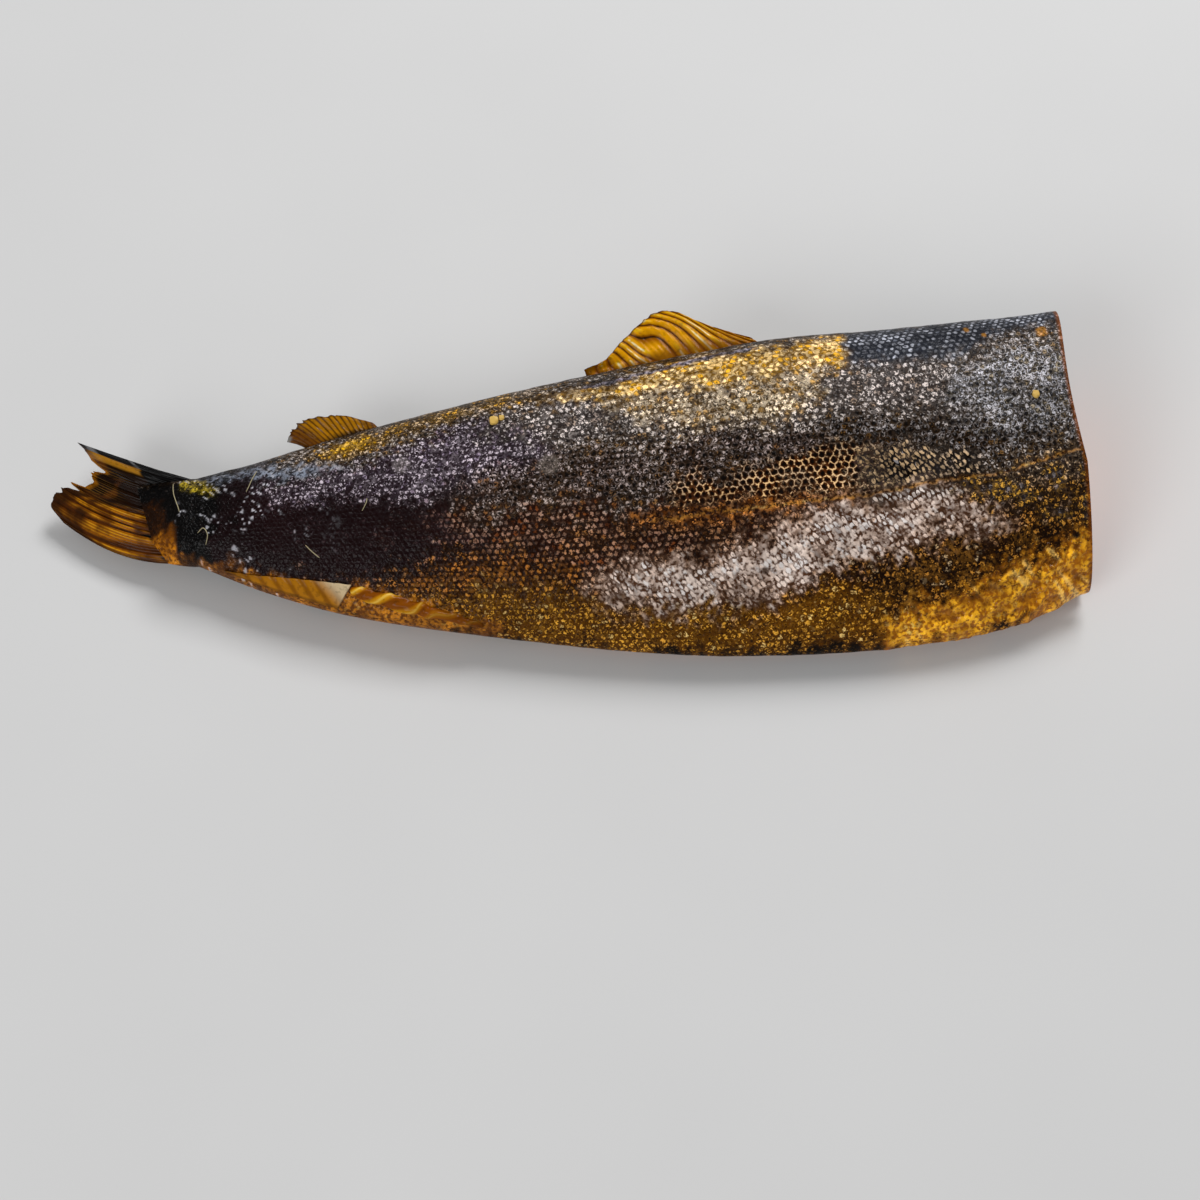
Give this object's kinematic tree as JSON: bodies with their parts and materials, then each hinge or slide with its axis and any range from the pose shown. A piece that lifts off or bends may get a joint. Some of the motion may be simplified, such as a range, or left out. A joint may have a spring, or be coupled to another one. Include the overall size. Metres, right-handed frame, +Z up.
{
  "type": "smoked fish",
  "caption": "Whole smoked fish without its head, gutted along the belly, lying on its side with its fins on and a clean cut at the shoulder.",
  "frame": {"origin": "middle of the bounding box, at the height of the table that the fish lies on", "axes": "+X along the fish from its tail to the cut at the shoulder, +Y toward its back, +Z up out of the table"},
  "size_m": [0.5292, 0.1775, 0.0828],
  "materials": {
    "smoked_skin": "glossy scaled fish skin, golden brown to black from the smoke"
  },
  "bodies": {
    "root": {"smoked_fish": "smoked_skin"}
  },
  "joints": []
}
